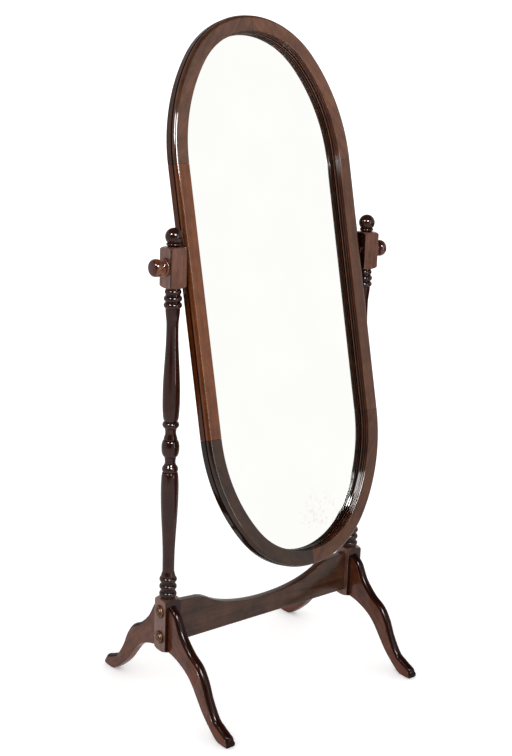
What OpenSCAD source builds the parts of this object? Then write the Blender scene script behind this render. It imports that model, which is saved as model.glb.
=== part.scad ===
// Oval tilting floor mirror on a turned wooden stand, as separate pieces.
// Millimetres. The floor is z = 0, the posts stand at x = +/- post_x, the front faces -y.
// The mirror is drawn upright about its pivot axis and then leant back by rest_tilt.

/* [Stand layout] */
// gap between the frame and each post
side_gap = 5; // [4:0.5:12]
// height of the pivot axis above the floor
pivot_z = 1022; // [1000:1:1040]
// square post stock, side length
post_w = 43; // [41:1:45]
// height of the underside of the lower blocks
block_z = 136; // [130:1:140]
// height of the lower blocks
low_block_h = 128; // [124:1:132]
// height of the pivot blocks
top_block_h = 89; // [84:1:94]
// depth of the turned shoulders of both blocks
shoulder_h = 9.5; // [7:0.5:12]
// radius where a turned shoulder meets the turning
shoulder_r = 15; // [13:0.5:16]

/* [Post turning] */
// largest radius of rings, belly, egg and taper
turn_r = 20; // [18:0.5:20]
// radius of the core between the rings
ring_core_r = 16.2; // [15:0.2:17]
// half thickness of one ring
ring_half = 7; // [6:0.25:7.5]
// spacing of the three rings above the lower block
low_ring_pitch = 17.5; // [15:0.5:18]
// spacing of the three rings below the pivot block
top_ring_pitch = 14.5; // [13.5:0.5:16]
// how much smaller the ring next to the pivot block is, in radius
top_ring_step = 1.8; // [0:0.2:2.4]
// smallest radius of the long necks
neck_r = 13.5; // [12:0.5:15]
// height of the widest point of the lower taper
taper_z = 522; // [510:1:530]
// height where the lower taper ends
taper_end_z = 562; // [558:1:565]
// centre height of the flared bead
flare_z = 570; // [568:1:572]
// radius of the flared bead
flare_r = 17.8; // [16.5:0.1:19]
// half height of the flared bead
flare_half = 6.5; // [5.5:0.25:7]
// centre height of the narrow waist under the egg
waist_z = 586; // [584:1:588]
// radius of the narrow waist
waist_r = 11.8; // [11:0.2:13]
// centre height of the egg
egg_z = 618; // [616:1:620]
// half height of the egg
egg_half = 19; // [18:0.5:20]
// radius of the two necks of the egg
egg_neck_r = 13.4; // [12.6:0.2:14]
// centre height of the small ring over the egg
astragal_z = 642; // [641:1:643]
// radius of the small ring over the egg
astragal_r = 15; // [14:0.5:16]
// half height of the small ring
astragal_half = 3.2; // [2.6:0.1:3.6]
// centre height of the middle bead
bead_z = 672; // [671:1:674]
// radius of the middle bead
bead_r = 18.6; // [17:0.2:19.4]
// half height of the middle bead
bead_half = 8.4; // [7.4:0.2:8.8]
// height of the widest point of the upper vase
vase_z = 737; // [730:1:742]
// largest radius of the upper vase
vase_r = 19.2; // [18.4:0.1:20]
// height where the vase rests on the middle bead
vase_end_z = 682; // [681:1:684]
// radius of the vase where it rests on the middle bead
vase_foot_r = 15.3; // [14:0.5:16]
// radius of the ball on top
ball_r = 19; // [17:0.5:20]
// radius of the collar under the ball
collar_r = 16.6; // [15.8:0.2:17.4]
// half height of the collar
collar_half = 2.4; // [1.8:0.1:3]
// radius of the neck under the ball
ball_neck_r = 12; // [11:0.5:13]

/* [Legs] */
// reach of each foot from its post axis
leg_reach = 248; // [232:1:256]
// height of the leg's upper tip on the block
leg_tip_z = 250; // [246:1:253]
// leg thickness
leg_t = 24; // [20:1:26]
// depth of the rounded crown along the top edge
crown_h = 6.5; // [4:0.5:8]
// width of the small step beside the crown
quirk = 2.2; // [1:0.2:3]
// radius of the lower arrises
leg_edge_r = 3; // [1.5:0.5:4]
// dowel radius
dowel_r = 4; // [3:0.5:4.5]
// dowel depth in the block
dowel_in = 12; // [10:1:12]
// dowel depth in the leg
dowel_out = 16; // [12:1:18]
// height of the lower dowel of each leg
dowel_low_z = 151; // [149:1:154]
// height of the upper dowel of each leg
dowel_top_z = 198; // [190:1:202]

/* [Stretcher] */
// board thickness
rail_t = 20; // [18:1:22]
// height of the straight lower edge
rail_z = 153; // [150:1:156]
// height of the scooped upper edge at the middle
rail_mid_z = 200; // [195:1:206]
// height of the upper edge on the outer shoulders
rail_hump_z = 247; // [245:1:249]
// height of the upper edge at the posts
rail_end_z = 251; // [249:1:253]
// half length of the scoop in the upper edge
rail_scoop_x = 170; // [160:1:176]
// distance where the shoulders level out
rail_hump_x = 202; // [196:1:210]
// share of the rise that the scoop takes
rail_scoop_share = 0.8; // [0.74:0.02:0.86]

/* [Rail bolts] */
// height of the lower bolt
bolt_low_z = 170.5; // [168:0.5:173]
// height of the upper bolt
bolt_top_z = 233; // [228:1:235]
// bolt shank radius
bolt_r = 3; // [2.5:0.5:3.5]
// bolt head radius
bolt_head_r = 6; // [5:0.5:6.5]
// bolt head height
bolt_head_h = 4; // [3:0.5:4.5]
// radius over the corners of the hexagon socket
socket_r = 2.3; // [2:0.1:3]
// depth of the hexagon socket
socket_d = 2.5; // [2:0.25:2.75]
// shank length from the head to the tip
bolt_len = 72; // [66:1:78]
// radius of the pocket for head and cover
pocket_r = 8; // [7.5:0.5:9]
// depth of the pocket
pocket_d = 9; // [8:0.5:10]
// cross nut radius
nut_r = 5; // [4.5:0.5:6]
// cross nut length
nut_len = 15; // [13:1:16]
// distance from the rail end to the cross nut
nut_in = 30; // [25:1:34]
// cover disc radius
cover_r = 15; // [13:0.5:16]
// cover rim thickness
cover_rim_h = 5; // [4:0.2:6]
// height of the cover dome
cover_h = 9; // [7.5:0.5:11]
// radius of the cover dome
cover_dome_r = 10.6; // [9:0.2:11.4]
// length of the cover spigot in the pocket
cover_spigot = 3; // [2:0.5:3.5]

/* [Mirror frame] */
// half width over the outside of the frame
frame_half_w = 253; // [249:1:255]
// half length of the straight stiles
stile_half = 297.5; // [284:0.5:312]
// radius of the two end arcs; the side arcs follow from it
end_arc_r = 216; // [210:0.5:219]
// width of the frame up to its inner arris
band_w = 36.5; // [34:0.5:39]
// frame thickness
frame_t = 30; // [28:1:32]
// depth of the pivot axis behind the front face
pivot_depth = 14; // [12:0.5:15]
// height of the pivot axis above the middle of the frame
pivot_up = 82.5; // [60:0.5:100]
// backward lean in the rest position, degrees
rest_tilt = 13.6; // [0:0.1:20]
// radius of the rounded outer front edge
outer_round_r = 8.5; // [6:0.5:9]
// width of the step behind the rounded edge
outer_step_w = 1.5; // [1:0.25:2]
// height of the recess between the step and the rounded edge
outer_step_h = 4; // [2:0.5:5]
// radius of the two beads on the inner edge
inner_bead_r = 2.4; // [1.8:0.1:2.6]
// distance of the glass behind the front face
glass_depth = 21.5; // [20.5:0.5:23]
// how far the inner lip reaches past the arris
lip_w = 2.5; // [2:0.5:4]
// width of the wood left outside the rebate
rebate_wall = 32; // [29:1:33]
// length of the interlocking tongues
tongue_len = 30; // [20:1:36]
// depth where the tongues start
tongue_front = 3; // [2:0.5:4]
// tongue thickness
tongue_t = 10; // [8:0.5:12]

/* [Glass and back] */
// glass thickness
glass_t = 4; // [3:0.5:5]
// play between glass or back panel and the rebate
glass_play = 1; // [0.5:0.25:2]
// clip plate thickness
clip_t = 1.5; // [1:0.25:2]
// clip plate half width
clip_r = 5; // [4:0.5:6]
// clip plate length between its end centres
clip_len = 14; // [12:1:18]
// clip screw radius
clip_screw_r = 1.6; // [1.4:0.1:2]
// clip screw head radius
clip_head_r = 3.4; // [2.6:0.2:4]
// clip screw head height
clip_head_h = 1.6; // [1:0.2:2]
// clip screw length in the wood
clip_screw_len = 12; // [8:1:14]
// distance of the clip screws from the outer edge of the frame
clip_screw_in = 24; // [21:1:25]
// distance of the clips from the middle on the stiles
clip_up = 190; // [120:5:240]
// direction of the clips on the end arcs, degrees
clip_angle = 60; // [50:1:75]

/* [Pivot hardware] */
// stud radius
stud_r = 4; // [3:0.5:4]
// stud depth in the knob
stud_in_knob = 18; // [12:1:20]
// stud depth in the stile
stud_in_stile = 18; // [14:1:19]
// threaded insert radius
insert_r = 6; // [5.5:0.5:6.5]
// threaded insert length
insert_len = 20; // [18:1:24]
// washer radius
washer_r = 12; // [9:0.5:14]
// washer thickness
washer_t = 1.5; // [1:0.25:2]
// radius of the spacer between frame and post
spacer_r = 12; // [9:0.5:14]
// knob head radius
knob_r = 19.5; // [17:0.5:20.5]
// knob base disc radius
knob_base_r = 20; // [17:0.2:20.4]
// thickness of the knob base disc
knob_base_h = 4.6; // [4:0.2:5.4]
// knob waist radius
knob_waist_r = 11.5; // [9:0.5:13]
// distance of the waist from the knob's back
knob_waist_z = 11; // [10:0.25:12]
// knob length
knob_len = 34; // [31:0.5:37]
// radius of the flat end of the knob
knob_face_r = 11; // [8:0.5:13]

/* [Clearances] */
// radial play of the stud in post, spacer, washer and insert
stud_play = 0.08; // [0.03:0.01:0.1]
// gap between faces that turn against each other
face_gap = 0.15; // [0.1:0.05:0.3]
// gap between the spacer and the post
spacer_gap = 0.4; // [0.3:0.1:0.6]
// gap round glued and pressed pieces
fit_gap = 0.05; // [0.02:0.01:0.1]
// radial play round the rail bolts
bolt_play = 0.3; // [0.2:0.1:0.5]

/* [Hidden] */
$fn = 96;

dark_wood = [0.24, 0.12, 0.09];
red_wood = [0.34, 0.16, 0.10];
rail_wood = [0.22, 0.15, 0.12];
steel = [0.62, 0.62, 0.60];
brass = [0.68, 0.52, 0.30];
bronze = [0.42, 0.31, 0.22];

half_w = post_w / 2;
post_x = frame_half_w + side_gap + half_w;
corner_r = half_w * sqrt(2) + 1;
rail_x = frame_half_w + side_gap;
block_out = post_x + half_w;
low_top_z = block_z + low_block_h;
top_low_z = pivot_z - top_block_h / 2 - 1.5;
top_top_z = top_low_z + top_block_h;
low_ring_z = low_top_z + ring_half + 2.5;
low_ring_end = low_ring_z + 2 * low_ring_pitch + ring_half;
top_ring_z = top_low_z - ring_half - 1.5;
top_ring_end = top_ring_z - 2 * top_ring_pitch - ring_half;
collar_z = top_top_z + 5;
ball_z = collar_z + ball_r - 3;
// side arcs and end arcs meet on the slope of a 3-4-5 triangle
side_arc_r = 5 * frame_half_w - 4 * end_arc_r;
side_center = [frame_half_w - side_arc_r, stile_half];
blend_angle = acos(0.8);
end_center = [0, stile_half + 0.6 * (side_arc_r - end_arc_r)];
plan_half_h = end_center[1] + end_arc_r + 1;
tongue_angle = tongue_len / (end_arc_r - band_w / 2) * 180 / PI;
back_h = pivot_depth - frame_t;
knob_x = block_out + washer_t + 2 * face_gap;
stud_tip_x = frame_half_w - stud_in_stile;
nut_x = rail_x - nut_in;
pocket_x = block_out - pocket_d;
leg_steps = 4;

// ---- shared curves ----

// smooth change between two extreme radii
function blend_pts(za, zb, a, b, n) =
    [for (i = [0 : n]) [a + (b - a) * (1 - cos(180 * i / n)) / 2, za + (zb - za) * i / n]];
// quarter ellipse that starts along the axis and ends square to it
function swell_in(za, zb, a, b, n) =
    [for (i = [0 : n]) [a + (b - a) * (1 - cos(90 * i / n)), za + (zb - za) * sin(90 * i / n)]];
// quarter ellipse that starts square to the axis and ends along it
function swell_out(za, zb, a, b, n) =
    [for (i = [0 : n]) [a + (b - a) * sin(90 * i / n), za + (zb - za) * (1 - cos(90 * i / n))]];
// smooth curve through key points, position t counted in keys
function spline(k, t) =
    let (n = len(k) - 1, i = max(0, min(floor(t), n - 1)), f = t - i,
         p1 = k[i], p2 = k[i + 1],
         p0 = i > 0 ? k[i - 1] : 2 * p1 - p2,
         p3 = i < n - 1 ? k[i + 2] : 2 * p2 - p1)
    p1 + f * ((p2 - p0) / 2 + f * ((2 * p0 - 5 * p1 + 4 * p2 - p3) / 2
        + f * (3 * p1 - p0 - 3 * p2 + p3) / 2));

module both_sides() {
    children();
    mirror([1, 0, 0]) children();
}

// ---- posts ----

// square block with turned shoulders at both ends
module square_block(z, h) {
    intersection() {
        translate([-half_w, -half_w, z]) cube([post_w, post_w, h]);
        rotate_extrude() polygon(concat(
            [[0, z]],
            swell_out(z, z + shoulder_h, shoulder_r, corner_r, 8),
            swell_in(z + h - shoulder_h, z + h, corner_r, shoulder_r, 8),
            [[0, z + h]]));
    }
}

module turning_outline() {
    polygon(concat(
        [[0, low_top_z - 2], [ring_core_r, low_top_z - 2], [ring_core_r, low_ring_end - 3]],
        blend_pts(low_ring_end - 2, low_ring_end + 14, ring_core_r, neck_r, 6),
        blend_pts(low_ring_end + 32, taper_z, neck_r, turn_r, 22),
        swell_in(taper_z + 3, taper_end_z, turn_r, turn_r - 3.4, 8),
        [[turn_r - 6, taper_end_z + 0.5], [turn_r - 6, flare_z]],
        blend_pts(flare_z + 4, waist_z, egg_neck_r, waist_r, 6),
        blend_pts(waist_z + 3, egg_z - egg_half, waist_r, egg_neck_r - 0.4, 5),
        swell_out(egg_z - egg_half, egg_z, egg_neck_r, turn_r, 8),
        swell_in(egg_z + 1, egg_z + egg_half, turn_r, egg_neck_r, 8),
        [[egg_neck_r - 1, egg_z + egg_half], [egg_neck_r - 1, astragal_z]],
        blend_pts(astragal_z + 3, astragal_z + 12, egg_neck_r - 0.8, egg_neck_r - 1.2, 2),
        blend_pts(astragal_z + 14, bead_z - 6, egg_neck_r - 1.2, egg_neck_r + 0.6, 4),
        [[egg_neck_r + 0.6, vase_end_z - 1]],
        swell_out(vase_end_z, vase_z - 12, vase_foot_r, vase_r, 8),
        blend_pts(vase_z, top_ring_end - 44, vase_r, neck_r - 0.2, 20),
        blend_pts(top_ring_end - 38, top_ring_end + 3, neck_r - 0.2, ring_core_r, 8),
        [[ring_core_r, top_low_z + 2], [0, top_low_z + 2]]));
    for (i = [0 : 2])
        translate([turn_r - ring_half, low_ring_z + i * low_ring_pitch]) circle(ring_half);
    for (i = [0 : 2])
        translate([turn_r - ring_half - (i == 0 ? top_ring_step : 0), top_ring_z - i * top_ring_pitch])
            circle(ring_half);
    translate([flare_r - flare_half, flare_z]) circle(flare_half);
    translate([astragal_r - astragal_half, astragal_z]) circle(astragal_half);
    translate([bead_r - bead_half, bead_z]) circle(bead_half);
}

module finial_outline() {
    translate([0, top_top_z - 2]) square([ball_neck_r, ball_z - top_top_z - 4]);
    translate([collar_r - collar_half, collar_z]) circle(collar_half);
}

module post_blank() {
    square_block(block_z, low_block_h);
    square_block(top_low_z, top_block_h);
    rotate_extrude() turning_outline();
    rotate_extrude() finial_outline();
    translate([0, 0, ball_z]) sphere(ball_r);
}

// right post, its outer face towards +x
module post() {
    difference() {
        translate([post_x, 0, 0]) post_blank();
        translate([rail_x - 1, 0, pivot_z]) rotate([0, 90, 0])
            cylinder(r = stud_r + stud_play, h = post_w + 2);
        for (z = [bolt_low_z, bolt_top_z]) {
            translate([rail_x - 1, 0, z]) rotate([0, 90, 0])
                cylinder(r = bolt_r + bolt_play, h = post_w);
            translate([pocket_x, 0, z]) rotate([0, 90, 0])
                cylinder(r = pocket_r, h = pocket_d + 1);
        }
        for (z = [dowel_low_z, dowel_top_z], a = [0, 180])
            translate([post_x, 0, z]) rotate([0, 0, a]) translate([0, -half_w - 1, 0])
                rotate([-90, 0, 0]) cylinder(r = dowel_r + fit_gap, h = dowel_in + 1.5);
    }
}

module post_right() { color(dark_wood) post(); }
module post_left() { color(dark_wood) mirror([1, 0, 0]) post(); }

// ---- legs ----

// upper and lower edge of a leg as [outward, up] shares of its reach and tip height
leg_top_share = [[0, 1], [0.097, 0.936], [0.203, 0.784], [0.344, 0.664],
                [0.485, 0.59], [0.588, 0.476], [0.671, 0.324], [0.772, 0.192],
                [0.847, 0.152], [0.922, 0.12], [0.978, 0.098], [1, 0.068]];
leg_low_share = [[0, 0.55], [0.105, 0.532], [0.21, 0.5], [0.316, 0.452],
                [0.408, 0.382], [0.496, 0.286], [0.596, 0.176], [0.719, 0.076],
                [0.807, 0.018], [0.868, 0], [0.93, 0], [0.995, 0.004]];

// key shares to millimetres in the plane of the leg
function leg_mm(p) = [half_w + p[0] * (leg_reach - half_w), max(0, p[1] * leg_tip_z)];
function leg_edge(keys, t) = leg_mm(spline(keys, t));
// how far a section leans away from square to the upper edge, as a cosine
function leg_square(t) =
    let (d = leg_edge(leg_top_share, t + 0.05) - leg_edge(leg_top_share, t - 0.05),
         s = leg_edge(leg_top_share, t) - leg_edge(leg_low_share, t))
    max(0.4, abs(d[0] * s[1] - d[1] * s[0]) / norm(d) / norm(s));
// half outline of one section: [sideways, height over the lower edge]
function leg_half(h, c) =
    let (e = min(leg_edge_r, h / 4), w = leg_t / 2, a = w - quirk)
    concat([[w - e, 0], [w - 0.3 * e, 0.3 * e], [w, e]],
           [[w, h - c - 0.6], [w - 0.6, h - c], [a, h - c]],
           [for (f = [20, 42, 66, 90]) [a * cos(f), h - c + c * sin(f)]]);
// points of one section in space, from one lower arris over the crown to the other
function leg_section(t) =
    let (low = leg_edge(leg_low_share, t),
         top = leg_edge(leg_top_share, t),
         h = norm(top - low),
         d = (top - low) / h,
         half = leg_half(h, min(crown_h / leg_square(t), 0.45 * h)),
         both = concat(half, [for (i = [len(half) - 2 : -1 : 0]) [-half[i][0], half[i][1]]]))
    [for (p = both) [p[0], -(low + d * p[1])[0], (low + d * p[1])[1]]];

// leg that points to the front, its post axis on z
module leg_blank() {
    last = (len(leg_top_share) - 1) * leg_steps;
    sections = [for (i = [0 : last]) leg_section(i / leg_steps)];
    m = len(sections[0]);
    polyhedron(
        points = [for (s = sections, p = s) p],
        faces = concat(
            [[for (j = [0 : m - 1]) j]],
            [for (i = [0 : last - 1], j = [0 : m - 1], f = [0, 1])
                let (a = i * m + j, b = i * m + (j + 1) % m)
                f == 0 ? [a, a + m, b + m] : [a, b + m, b]],
            [[for (j = [m - 1 : -1 : 0]) last * m + j]]),
        convexity = 6);
}

module leg() {
    difference() {
        leg_blank();
        for (z = [dowel_low_z, dowel_top_z])
            translate([0, 1 - half_w, z]) rotate([90, 0, 0])
                cylinder(r = dowel_r + fit_gap, h = dowel_out + 1.5);
    }
}

module leg_front_left() { color(dark_wood) translate([-post_x, 0, 0]) leg(); }
module leg_front_right() { color(dark_wood) translate([post_x, 0, 0]) leg(); }
module leg_rear_left() { color(dark_wood) translate([-post_x, 0, 0]) rotate([0, 0, 180]) leg(); }
module leg_rear_right() { color(dark_wood) translate([post_x, 0, 0]) rotate([0, 0, 180]) leg(); }

module leg_dowels() {
    color(red_wood) both_sides()
        for (z = [dowel_low_z, dowel_top_z], a = [0, 180])
            translate([post_x, 0, z]) rotate([0, 0, a]) translate([0, dowel_in - half_w, 0])
                rotate([90, 0, 0]) cylinder(r = dowel_r, h = dowel_in + dowel_out);
}

// ---- stretcher and its bolts ----

// upper edge of the board: a scoop, then a shoulder that levels out towards the post
function arc_rise(u) = 1 - sqrt(1 - pow(0.85 * u, 2));
function rail_rise(x) =
    x <= rail_scoop_x
        ? rail_scoop_share * arc_rise(x / rail_scoop_x) / arc_rise(1)
        : rail_scoop_share
            + (1 - rail_scoop_share) * sin(90 * (x - rail_scoop_x) / (rail_hump_x - rail_scoop_x));
function rail_top(x) =
    x <= rail_hump_x
        ? rail_mid_z + (rail_hump_z - rail_mid_z) * rail_rise(x)
        : rail_hump_z + (rail_end_z - rail_hump_z) * (x - rail_hump_x) / (rail_x - rail_hump_x);
rail_stations = concat([for (i = [0 : 13]) rail_scoop_x * i / 14],
                       [for (i = [0 : 5]) rail_scoop_x + (rail_hump_x - rail_scoop_x) * i / 6],
                       [rail_hump_x, (rail_hump_x + rail_x) / 2, rail_x]);

module stretcher() {
    n = len(rail_stations) - 1;
    color(rail_wood) difference() {
        translate([0, rail_t / 2, 0]) rotate([90, 0, 0]) linear_extrude(rail_t) polygon(concat(
            [[-rail_x, rail_z], [rail_x, rail_z]],
            [for (i = [n : -1 : 1]) [rail_stations[i], rail_top(rail_stations[i])]],
            [for (i = [0 : n]) [-rail_stations[i], rail_top(rail_stations[i])]]));
        both_sides() for (z = [bolt_low_z, bolt_top_z]) {
            translate([pocket_x - bolt_len - 2, 0, z]) rotate([0, 90, 0])
                cylinder(r = bolt_r + bolt_play, h = bolt_len);
            translate([nut_x, rail_t / 2 + 1, z]) rotate([90, 0, 0])
                cylinder(r = nut_r + fit_gap, h = rail_t / 2 + nut_len / 2 + 1.5);
        }
    }
}

module rail_bolts() {
    color(steel) both_sides() for (z = [bolt_low_z, bolt_top_z]) translate([pocket_x, 0, z]) {
        difference() {
            rotate([0, 90, 0]) cylinder(r = bolt_head_r, h = bolt_head_h);
            translate([bolt_head_h - socket_d, 0, 0]) rotate([0, 90, 0])
                cylinder(r = socket_r, h = socket_d + 1, $fn = 6);
        }
        rotate([0, -90, 0]) cylinder(r = bolt_r, h = bolt_len);
    }
}

module cross_nuts() {
    color(steel) both_sides() for (z = [bolt_low_z, bolt_top_z]) translate([nut_x, 0, z])
        difference() {
            translate([0, nut_len / 2, 0]) rotate([90, 0, 0]) cylinder(r = nut_r, h = nut_len);
            translate([-nut_r - 1, 0, 0]) rotate([0, 90, 0])
                cylinder(r = bolt_r + fit_gap, h = 2 * nut_r + 2);
        }
}

// cover disc with a raised centre, pressed into the bolt pocket
module bolt_covers() {
    color(bronze) both_sides() for (z = [bolt_low_z, bolt_top_z]) translate([block_out, 0, z])
        rotate([0, 90, 0]) rotate_extrude() polygon(concat(
            [[0, -cover_spigot], [pocket_r - fit_gap, -cover_spigot], [pocket_r - fit_gap, 0]],
            [[cover_r, 0], [cover_r, cover_rim_h - 0.8], [cover_r - 0.8, cover_rim_h]],
            [[cover_dome_r + 0.6, cover_rim_h], [cover_dome_r, cover_rim_h - 0.4]],
            swell_in(cover_rim_h, cover_h, cover_dome_r, 2, 8),
            [[0, cover_h]]));
}

// ---- mirror frame, drawn flat: x across, y up the frame, z towards the front ----

// puts the flat drawing on the pivot axis in the rest position
module frame_place() {
    translate([0, 0, pivot_z]) rotate([90 - rest_tilt, 0, 0])
        translate([0, -pivot_up, 0]) children();
}

// cross-section of the frame, its outer front corner at (r, pivot_depth)
module band_section(r) {
    translate([r, pivot_depth]) {
        polygon(concat(
            [[-1, -frame_t], [0, 1 - frame_t], [0, -outer_round_r - outer_step_h]],
            [[-outer_step_w, -outer_round_r - outer_step_h], [-outer_step_w, -outer_round_r]],
            [for (f = [10 : 10 : 90])
                [-outer_step_w - outer_round_r * (1 - cos(f)), -outer_round_r * (1 - sin(f))]],
            [[1.2 - band_w, 0], [0.4 - band_w, -0.4], [-band_w, -1.2]],
            [[-band_w, -3], [1 - band_w, -3.6], [1 - band_w, -9.2]],
            [[0.2 - band_w, -9.4], [0.2 - band_w, -15], [-band_w - 1, -15.6]],
            [[-band_w - lip_w, -glass_depth + 2.5], [-band_w - lip_w, -glass_depth]],
            [[-rebate_wall, -glass_depth], [-rebate_wall, -frame_t]]));
        translate([1 - band_w, -6.2]) circle(inner_bead_r);
        translate([0.2 - band_w, -12.2]) circle(inner_bead_r);
    }
}

// layer of the frame that the tongues fill
module tongue_layer() {
    intersection() {
        children();
        translate([-frame_half_w - 1, -plan_half_h, pivot_depth - tongue_front - tongue_t])
            cube([2 * frame_half_w + 2, 2 * plan_half_h, tongue_t]);
    }
}

module slot_block(r, len_y) {
    translate([r - 2 * band_w, -len_y, pivot_depth - tongue_front - tongue_t])
        cube([3 * band_w, len_y + 1, tongue_t]);
}

// places of the back clips in one quarter; the clip runs towards -x
module clip_places() {
    translate([frame_half_w - clip_screw_in, clip_up, back_h]) children();
    translate(end_center) rotate([0, 0, clip_angle])
        translate([end_arc_r - clip_screw_in, 0, back_h]) children();
}

module four_quarters() {
    both_sides() {
        children();
        mirror([0, 1, 0]) children();
    }
}

module screw_bore() {
    translate([0, 0, -1]) cylinder(r = clip_screw_r + fit_gap, h = clip_screw_len + 1.5);
}

module stile() {
    difference() {
        translate([0, stile_half, 0]) rotate([90, 0, 0])
            linear_extrude(2 * stile_half) band_section(frame_half_w);
        for (m = [0, 1]) mirror([0, m, 0]) {
            translate([0, stile_half, 0]) slot_block(frame_half_w, tongue_len);
            translate([frame_half_w - clip_screw_in, clip_up, back_h]) screw_bore();
        }
        translate([frame_half_w + 1, pivot_up, 0]) rotate([0, -90, 0])
            cylinder(r = insert_r + fit_gap, h = insert_len + 2);
    }
}

// upper right quarter; one of each pair carries the tongue at the middle joint
module arc_quarter(tongue) {
    difference() {
        union() {
            translate(side_center) rotate_extrude(angle = blend_angle) band_section(side_arc_r);
            translate(end_center) rotate_extrude(angle = 90 - blend_angle, start = blend_angle)
                band_section(end_arc_r);
        }
        if (!tongue) translate(end_center)
            rotate_extrude(angle = tongue_angle + 2, start = 90 - tongue_angle)
                translate([end_arc_r - 2 * band_w, pivot_depth - tongue_front - tongue_t])
                    square([3 * band_w, tongue_t]);
        clip_places() screw_bore();
    }
    tongue_layer() translate([0, stile_half, 0]) rotate([90, 0, 0])
        linear_extrude(tongue_len) band_section(frame_half_w);
    if (tongue) tongue_layer() translate(end_center)
        rotate_extrude(angle = tongue_angle, start = 90) band_section(end_arc_r);
}

module stile_right() { color(red_wood) frame_place() stile(); }
module stile_left() { color(red_wood) frame_place() mirror([1, 0, 0]) stile(); }
module arc_top_right() { color(dark_wood) frame_place() arc_quarter(true); }
module arc_top_left() { color(dark_wood) frame_place() mirror([1, 0, 0]) arc_quarter(false); }
module arc_bottom_right() { color(dark_wood) frame_place() mirror([0, 1, 0]) arc_quarter(true); }
module arc_bottom_left() { color(dark_wood) frame_place() rotate([0, 0, 180]) arc_quarter(false); }

// oval plate inside the frame outline, moved in by inset
module oval_plate(inset, h) {
    join_y = end_center[1] + 0.6 * (end_arc_r - inset);
    half = frame_half_w - inset;
    translate([-half, -stile_half, 0]) cube([2 * half, 2 * stile_half, h]);
    for (m = [0, 1]) mirror([0, m, 0]) {
        intersection() {
            translate(side_center) cylinder(r = side_arc_r - inset, h = h);
            translate([-side_center[0], side_center[1], 0]) cylinder(r = side_arc_r - inset, h = h);
            translate([-half, stile_half, 0]) cube([2 * half, join_y - stile_half, h]);
        }
        translate(end_center) cylinder(r = end_arc_r - inset, h = h);
    }
}

module mirror_glass() {
    color([0.85, 0.87, 0.86]) frame_place() translate([0, 0, pivot_depth - glass_depth - glass_t])
        oval_plate(rebate_wall + glass_play, glass_t);
}

module back_panel() {
    color([0.55, 0.42, 0.28]) frame_place() translate([0, 0, back_h])
        oval_plate(rebate_wall + glass_play, frame_t - glass_depth - glass_t);
}

module back_clips() {
    color(brass) frame_place() four_quarters() clip_places() translate([0, 0, -clip_t]) difference() {
        union() {
            cylinder(r = clip_r, h = clip_t);
            translate([-clip_len, 0, 0]) cylinder(r = clip_r, h = clip_t);
            translate([-clip_len, -clip_r, 0]) cube([clip_len, 2 * clip_r, clip_t]);
        }
        translate([0, 0, -1]) cylinder(r = clip_screw_r + fit_gap, h = clip_t + 2);
    }
}

module clip_screws() {
    color(steel) frame_place() four_quarters() clip_places() {
        translate([0, 0, -clip_t]) cylinder(r = clip_screw_r, h = clip_t + clip_screw_len);
        translate([0, 0, -clip_t - clip_head_h])
            cylinder(r1 = 0.6 * clip_head_r, r2 = clip_head_r, h = clip_head_h);
    }
}

// ---- pivot hardware, drawn for the right side on the pivot axis ----

module on_pivot(x) {
    translate([x, 0, pivot_z]) rotate([0, 90, 0]) children();
}

module insert() {
    translate([0, 0, -insert_len]) difference() {
        cylinder(r = insert_r, h = insert_len);
        translate([0, 0, -1]) cylinder(r = stud_r + stud_play, h = insert_len + 2);
    }
}

module inserts() { color(brass) both_sides() on_pivot(frame_half_w) insert(); }

module spacer() {
    h = rail_x - frame_half_w - spacer_gap;
    difference() {
        cylinder(r = spacer_r, h = h);
        translate([0, 0, -1]) cylinder(r = stud_r + stud_play, h = h + 2);
    }
}

module spacer_right() { color(dark_wood) on_pivot(frame_half_w) spacer(); }
module spacer_left() { color(dark_wood) mirror([1, 0, 0]) on_pivot(frame_half_w) spacer(); }

module washer() {
    difference() {
        cylinder(r = washer_r, h = washer_t);
        translate([0, 0, -1]) cylinder(r = stud_r + stud_play, h = washer_t + 2);
    }
}

module washer_right() { color(brass) on_pivot(block_out + face_gap) washer(); }
module washer_left() { color(brass) mirror([1, 0, 0]) on_pivot(block_out + face_gap) washer(); }

module stud() { cylinder(r = stud_r, h = knob_x + stud_in_knob - stud_tip_x); }

module stud_right() { color(steel) on_pivot(stud_tip_x) stud(); }
module stud_left() { color(steel) mirror([1, 0, 0]) on_pivot(stud_tip_x) stud(); }

module knob() {
    difference() {
        rotate_extrude() polygon(concat(
            [[0, 0], [knob_base_r - 0.8, 0], [knob_base_r, 0.8]],
            swell_in(knob_base_h - 2, knob_base_h, knob_base_r, knob_base_r - 2.4, 4),
            swell_out(knob_base_h, knob_waist_z, knob_base_r - 3, knob_waist_r, 9),
            swell_out(knob_waist_z + 1.4, knob_len - 13, knob_waist_r + 1.2, knob_r, 7),
            swell_in(knob_len - 11, knob_len, knob_r, knob_face_r, 9),
            [[0, knob_len]]));
        translate([0, 0, -1]) cylinder(r = stud_r + fit_gap, h = stud_in_knob + 1.5);
    }
}

module knob_right() { color(dark_wood) on_pivot(knob_x) knob(); }
module knob_left() { color(red_wood) mirror([1, 0, 0]) on_pivot(knob_x) knob(); }

post_left();
post_right();
leg_front_left();
leg_rear_left();
leg_front_right();
leg_rear_right();
leg_dowels();
stretcher();
rail_bolts();
cross_nuts();
bolt_covers();
stile_left();
stile_right();
arc_top_left();
arc_top_right();
arc_bottom_left();
arc_bottom_right();
mirror_glass();
back_panel();
back_clips();
clip_screws();
inserts();
spacer_left();
spacer_right();
washer_left();
washer_right();
stud_left();
stud_right();
knob_left();
knob_right();
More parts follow.
